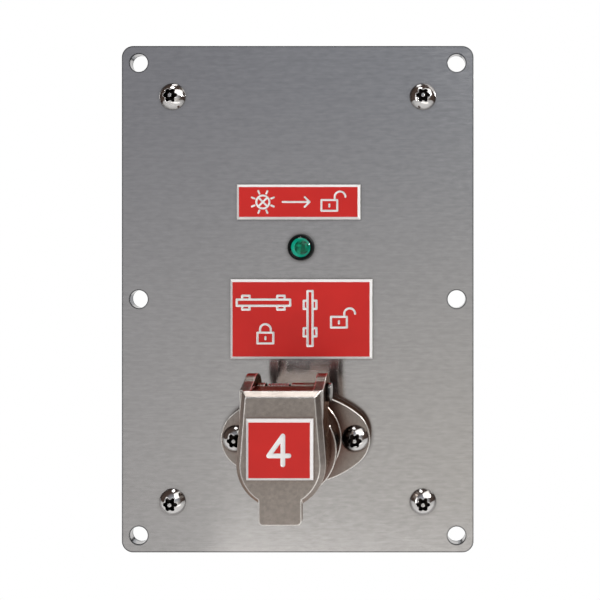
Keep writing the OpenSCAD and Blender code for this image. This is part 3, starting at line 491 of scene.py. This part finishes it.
def engraved_label(node, body, strokes):
    """Two-layer label in place of a node: red face, white bevels, and strokes cut to the white core."""
    low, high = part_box(node)
    centre = middle_of(node)
    verts = []
    for inset, y in ((0, high.y), (0, high.y - LABEL_EDGE), (LABEL_BEVEL, low.y)):
        half_w = (high.x - low.x) / 2 - inset
        half_h = (high.z - low.z) / 2 - inset
        for su, sv in ((-1, -1), (1, -1), (1, 1), (-1, 1)):
            verts.append((centre.x + su * half_w, y, centre.z + sv * half_h))
    faces = [[3, 2, 1, 0]]
    for ring in (0, 4):
        for i in range(4):
            j = (i + 1) % 4
            faces.append([ring + i, ring + j, ring + 4 + j, ring + 4 + i])
    faces.append([8, 9, 10, 11])
    layers = [materials["label_red"], white_core]
    label = mesh_object(node + "_engraved", verts, faces, layers)
    for face in label.data.polygons:
        face.material_index = WHITE
    label.data.polygons[len(faces) - 1].material_index = RED

    cut_verts = []
    cut_faces = []
    for outline in strokes:
        placed = [(centre.x + u * MM, centre.z + v * MM) for u, v in outline]
        add_prism(cut_verts, cut_faces, placed, low.y - ENGRAVED_DEPTH, low.y + ENGRAVED_DEPTH)
    cutter = mesh_object(node + "_cutter", cut_verts, cut_faces, layers)
    for face in cutter.data.polygons:
        face.material_index = WHITE
    cut = label.modifiers.new("engraving", "BOOLEAN")
    cut.object = cutter
    cut.operation = "DIFFERENCE"
    cut.solver = "EXACT"
    cut.use_self = True
    bpy.context.view_layer.update()
    shaped = bpy.data.meshes.new_from_object(label.evaluated_get(bpy.context.evaluated_depsgraph_get()))
    label.modifiers.clear()
    label.data = shaped
    bpy.data.objects.remove(cutter)
    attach(label, body)
    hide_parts(node)


# Stroke widths of the signs on each label, and of the key's outline
KEY_STROKE = 0.8
POSITION_STROKE = 0.75
STATUS_STROKE = 0.7
CAP_STROKE = 1.45

level_key = key_bar(u=-13.3, v=5.9, length=18.9, breadth=2.2, lug_length=2.6, lug_width=1.35, lug_at=6.2,
                    width=KEY_STROKE, upright=False)
upright_key = key_bar(u=3.2, v=0.3, length=19.4, breadth=1.8, lug_length=2.9, lug_width=1.35, lug_at=4.85,
                      width=KEY_STROKE, upright=True)
engraved_label("position_label", "housing",
               level_key
               + upright_key
               + padlock(u=-12.6, v=-5.4, width=POSITION_STROKE, is_open=False)
               + padlock(u=13.4, v=0.2, width=POSITION_STROKE, is_open=True))
engraved_label("status_label", "housing",
               lamp_sign(u=-12.5, v=0, radius=2.3, width=STATUS_STROKE)
               + arrow_sign(u0=-5.5, u1=4.0, v=0, width=STATUS_STROKE)
               + padlock(u=11.0, v=0, width=STATUS_STROKE, is_open=True))
engraved_label("cap_label", "cap", figure_four(height=8.8, width=CAP_STROKE))


# Springs: round wire in place of the faceted one, which gives as the joint moves

WIRE_SIDES = 12
COIL_STEPS = 32


def wire(name, points, radius, node):
    """A round wire along points, in place of a node."""
    path = [Vector(p) for p in points]
    last = len(path) - 1
    verts = []
    faces = []
    side = Vector((1, 0, 0))
    for i, p in enumerate(path):
        along = (path[min(i + 1, last)] - path[max(i - 1, 0)]).normalized()
        side = (side - along * side.dot(along)).normalized()
        other = along.cross(side)
        for k in range(WIRE_SIDES):
            angle = 2 * math.pi * k / WIRE_SIDES
            verts.append(p + radius * (side * math.cos(angle) + other * math.sin(angle)))
    for i in range(last):
        here = i * WIRE_SIDES
        there = (i + 1) * WIRE_SIDES
        for k in range(WIRE_SIDES):
            j = (k + 1) % WIRE_SIDES
            faces.append([here + k, here + j, there + j, there + k])
    faces.append(list(reversed(range(WIRE_SIDES))))
    faces.append([last * WIRE_SIDES + k for k in range(WIRE_SIDES)])
    piece = mesh_object(name, verts, faces, [materials["spring_steel"]])
    piece.data.shade_smooth()
    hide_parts(node)
    return piece


def coil(x0, x1, axis, radius, turns, start):
    """Points of a coil along X whose first one is at a start angle, in degrees from Y towards Z."""
    points = []
    for i in range(turns * COIL_STEPS + 1):
        angle = math.radians(start - 360 * i / COIL_STEPS)
        x = x0 + (x1 - x0) * i / (turns * COIL_STEPS)
        points.append((x, axis.y + radius * math.cos(angle), axis.z + radius * math.sin(angle)))
    return points


def cap_torsion_spring():
    """Coil round the hinge pin, one leg on the lug and one inside the cap's front."""
    wire_r = 0.45 * MM
    low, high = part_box("cap_spring")
    axis = middle_of("hinge_pin")
    radius = (high.z - low.z) / 2 - wire_r
    x0 = low.x + wire_r
    x1 = high.x - wire_r
    points = coil(x0, x1, axis, radius, turns=7, start=-90)
    points = [(x0, high.y, axis.z - radius)] + points + [(x1, low.y, axis.z - radius)]
    piece = wire("cap_torsion_spring", points, wire_r, "cap_spring")
    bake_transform(piece)


def bolt_return_spring():
    """Coil between the bolt's collar and the solenoid's frame."""
    wire_r = 0.35 * MM
    low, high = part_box("bolt_spring")
    axis = middle_of("bolt_spring")
    radius = (high.z - low.z) / 2 - wire_r
    x0 = low.x + wire_r
    x1 = high.x - wire_r
    points = coil(x0, x1, axis, radius, turns=4, start=0)
    piece = wire("bolt_return_spring", points, wire_r, "bolt_spring")
    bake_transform(piece)


cap_torsion_spring()
bolt_return_spring()


# Lamp: a faceted reflector behind the lens, round the light source

REFLECTOR_FACETS = 18
# Its section, as radius and depth behind the bezel's front in millimetres
REFLECTOR_SECTION = [(3.08, 1.6), (2.05, 2.75), (2.05, 2.85), (3.08, 1.95)]


def lamp_reflector():
    """Cone of flat facets inside the lamp."""
    low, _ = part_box("lamp_holder")
    centre = middle_of("lamp_lens")
    sides = len(REFLECTOR_SECTION)
    verts = []
    faces = []
    for i in range(REFLECTOR_FACETS):
        angle = 2 * math.pi * i / REFLECTOR_FACETS
        for radius, depth in REFLECTOR_SECTION:
            verts.append((centre.x + radius * MM * math.cos(angle), low.y + depth * MM,
                          centre.z + radius * MM * math.sin(angle)))
    for i in range(REFLECTOR_FACETS):
        here = i * sides
        there = (i + 1) % REFLECTOR_FACETS * sides
        for k in range(sides):
            j = (k + 1) % sides
            faces.append([here + k, there + k, there + j, here + j])
    piece = mesh_object("lamp_reflector", verts, faces, [reflector_white])
    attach(piece, "housing")


lamp_reflector()

# Camera: its picture plane is parallel to the plate, and the eye is to the right and above
PIXEL = 0.3555 * MM
FRAME_PIXELS = 600
PLATE_CENTRE_PIXEL = (297.7, 299.2)
EYE_DISTANCE = 205 * MM
EYE_X = 40 * MM
EYE_Z = 22 * MM
SENSOR = 36.0
NEAREST = 0.01
plate_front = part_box("face_plate")[0].y
frame_width = FRAME_PIXELS * PIXEL
aim_x = (FRAME_PIXELS / 2 - PLATE_CENTRE_PIXEL[0]) * PIXEL
aim_z = (PLATE_CENTRE_PIXEL[1] - FRAME_PIXELS / 2) * PIXEL
camera_data = bpy.data.cameras.new("camera")
camera = bpy.data.objects.new("camera", camera_data)
bpy.context.scene.collection.objects.link(camera)
camera.location = (EYE_X, plate_front - EYE_DISTANCE, EYE_Z)
camera.rotation_euler = (math.pi / 2, 0, 0)
camera_data.sensor_width = SENSOR
camera_data.lens = SENSOR * EYE_DISTANCE / frame_width
camera_data.shift_x = (aim_x - EYE_X) / frame_width
camera_data.shift_y = (aim_z - EYE_Z) / frame_width
camera_data.clip_start = NEAREST
bpy.context.scene.camera = camera


# Stage and light, in metres

FLOOR_Z = -0.72
BACKDROP_Y = 0.9
FLOOR_FRONT_Y = -1.2
REACH = 3.0
STAGE_COLOR = (0.88, 0.87, 0.86)
STAGE_ROUGHNESS = 0.9


def stage_material(name, whiteness):
    """Pale and shaded, and turned so far to white where the camera, a mirror or glass looks at it."""
    mat, tree, shader = new_material(name)
    shader.inputs["Base Color"].default_value = (*STAGE_COLOR, 1)
    shader.inputs["Roughness"].default_value = STAGE_ROUGHNESS
    out = next(n for n in tree.nodes if n.type == "OUTPUT_MATERIAL")
    path = add(tree, "ShaderNodeLightPath")
    seen = path.outputs["Is Camera Ray"]
    for ray in ("Is Glossy Ray", "Is Transmission Ray"):
        either = add(tree, "ShaderNodeMath", operation="MAXIMUM")
        tree.links.new(seen, either.inputs[0])
        tree.links.new(path.outputs[ray], either.inputs[1])
        seen = either.outputs["Value"]
    white = add(tree, "ShaderNodeEmission", Color=(1, 1, 1, 1), Strength=1.0)
    mixed = add(tree, "ShaderNodeMixShader")
    tree.links.new(spread(tree, seen, 0, whiteness, start=0, end=1), mixed.inputs["Fac"])
    tree.links.new(shader.outputs["BSDF"], mixed.inputs[1])
    tree.links.new(white.outputs["Emission"], mixed.inputs[2])
    tree.links.new(mixed.outputs["Shader"], out.inputs["Surface"])
    return mat


def stage_sheet(name, corners, material):
    """A flat four-cornered stage piece."""
    piece = mesh_object(name, corners, [(0, 1, 2, 3)], [material])


stage_sheet("floor", [(-REACH, FLOOR_FRONT_Y, FLOOR_Z), (REACH, FLOOR_FRONT_Y, FLOOR_Z),
                      (REACH, BACKDROP_Y, FLOOR_Z), (-REACH, BACKDROP_Y, FLOOR_Z)],
            stage_material("pale_floor", whiteness=0.5))
stage_sheet("backdrop", [(-REACH, BACKDROP_Y, FLOOR_Z), (REACH, BACKDROP_Y, FLOOR_Z),
                         (REACH, BACKDROP_Y, REACH), (-REACH, BACKDROP_Y, REACH)],
            stage_material("white_backdrop", whiteness=1.0))


def area_light(name, place, width, height, radiance, color=(1, 1, 1), target=(0, 0, 0)):
    """A soft panel of some brightness that faces a target."""
    data = bpy.data.lights.new(name, "AREA")
    data.shape = "RECTANGLE"
    data.size = width
    data.size_y = height
    data.energy = radiance * math.pi * width * height
    data.color = color
    lamp = bpy.data.objects.new(name, data)
    bpy.context.scene.collection.objects.link(lamp)
    lamp.location = place
    lamp.rotation_mode = "QUATERNION"
    lamp.rotation_quaternion = (Vector(target) - Vector(place)).to_track_quat("-Z", "Y")


area_light("key", (0.75, -0.8, 0.9), width=1.5, height=1.15, radiance=1.6, color=(1, 0.99, 0.97))
area_light("right", (1.07, -0.52, 0.49), width=0.2, height=0.2, radiance=40)
area_light("left", (-0.95, -0.75, 0.0), width=0.2, height=0.9, radiance=3)
area_light("low", (0.22, -0.68, -0.68), width=1.2, height=0.22, radiance=1.0, color=(1, 0.96, 0.92))
area_light("overhead", (-0.2, -0.28, 1.0), width=0.34, height=0.26, radiance=4.6, target=(0, -0.02, -0.03))
area_light("rear", (-0.5, 0.8, 0.8), width=0.6, height=0.6, radiance=5)

# World: a pale front, warmer and lighter towards its foot and its right, and dark brown all round it
LEFT_FOOT = (0.69, 0.68, 0.67)
LEFT_TOP = (0.348, 0.356, 0.393)
RIGHT_FOOT = (0.80, 0.775, 0.725)
RIGHT_TOP = (0.395, 0.416, 0.460)
SIDES = (0.085, 0.06, 0.05)
world = bpy.data.worlds.new("studio")
bpy.context.scene.world = world
world.use_nodes = True
sky = world.node_tree
direction = add(sky, "ShaderNodeTexCoord")
axes = add(sky, "ShaderNodeSeparateXYZ")
sky.links.new(direction.outputs["Generated"], axes.inputs["Vector"])
rise = spread(sky, axes.outputs["Z"], 0, 1, start=-0.4, end=0.25)
across = spread(sky, axes.outputs["X"], 0, 1, start=-0.45, end=0.1)
facing = spread(sky, axes.outputs["Y"], 1, 0, start=-0.85, end=-0.5)
left_front = mix_color(sky, rise, LEFT_FOOT, LEFT_TOP)
right_front = mix_color(sky, rise, RIGHT_FOOT, RIGHT_TOP)
front = mix_color(sky, across, left_front, right_front)
sky.links.new(mix_color(sky, facing, SIDES, front), sky.nodes["Background"].inputs["Color"])

bpy.context.scene.view_settings.view_transform = "Standard"
